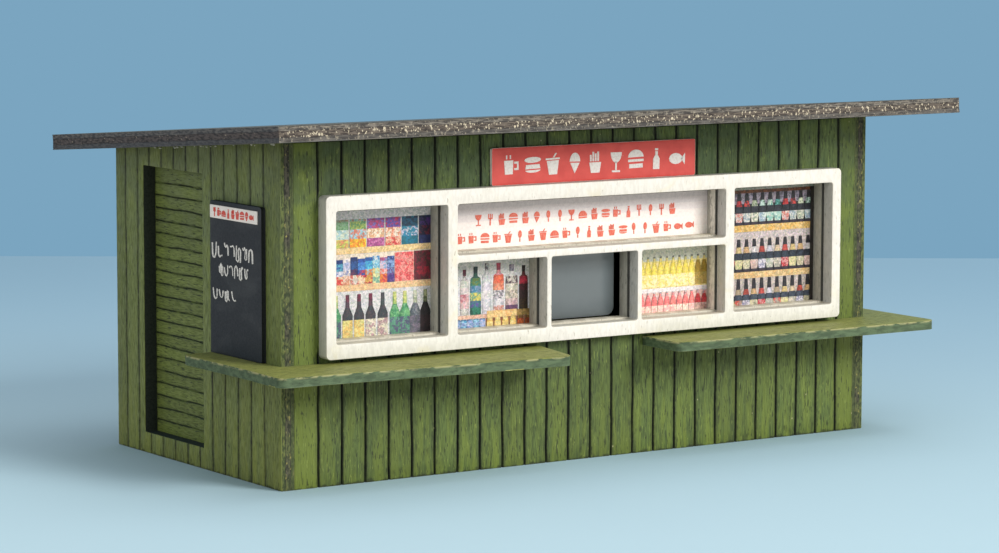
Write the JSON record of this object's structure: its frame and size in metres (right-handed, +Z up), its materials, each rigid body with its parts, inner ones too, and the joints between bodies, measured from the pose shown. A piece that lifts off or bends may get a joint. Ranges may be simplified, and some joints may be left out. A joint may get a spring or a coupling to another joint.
{
  "type": "model snack kiosk",
  "caption": "Flat-roofed plank snack kiosk as a railway scale model, with a white window frame, serving hatch, side door and L-shaped counters round its front corners.",
  "frame": {"origin": "on the ground, under the middle of the roof's outline", "axes": "+X to the right along the serving front, -Y out of the serving front, +Z up"},
  "size_m": [0.0836, 0.0474, 0.0363],
  "materials": {
    "wall_paint": "moss green stain on plywood, semi-matt, with engraved plank grooves",
    "counter_paint": "moss green stain on thin plywood, with dry-brushed edges",
    "roof_ply": "weathered grey-brown stain on plywood, bare layers at the edges",
    "frame_paint": "off-white paint on plywood, thin at the cut edges",
    "sign_card": "red print on white card, satin",
    "board_card": "blackboard grey on card, matt",
    "strip_card": "white paper with a red print, matt",
    "panel_print": "white paper with a red print, matt",
    "display_print": "colour print on paper, satin",
    "hatch_film": "grey-blue film, glossy"
  },
  "bodies": {
    "root": {"front_wall": "wall_paint", "back_wall": "wall_paint", "left_wall": "wall_paint", "right_wall": "wall_paint", "door_leaf": "wall_paint", "left_counter": "counter_paint", "right_counter": "counter_paint", "roof": "roof_ply", "window_frame": "frame_paint", "sign_board": "sign_card", "menu_board": "board_card", "menu_strip": "strip_card", "left_display_card": "display_print", "panel_card": "panel_print", "bottle_display_card": "display_print", "drinks_display_card": "display_print", "right_display_card": "display_print", "hatch_pane": "hatch_film"}
  },
  "joints": []
}
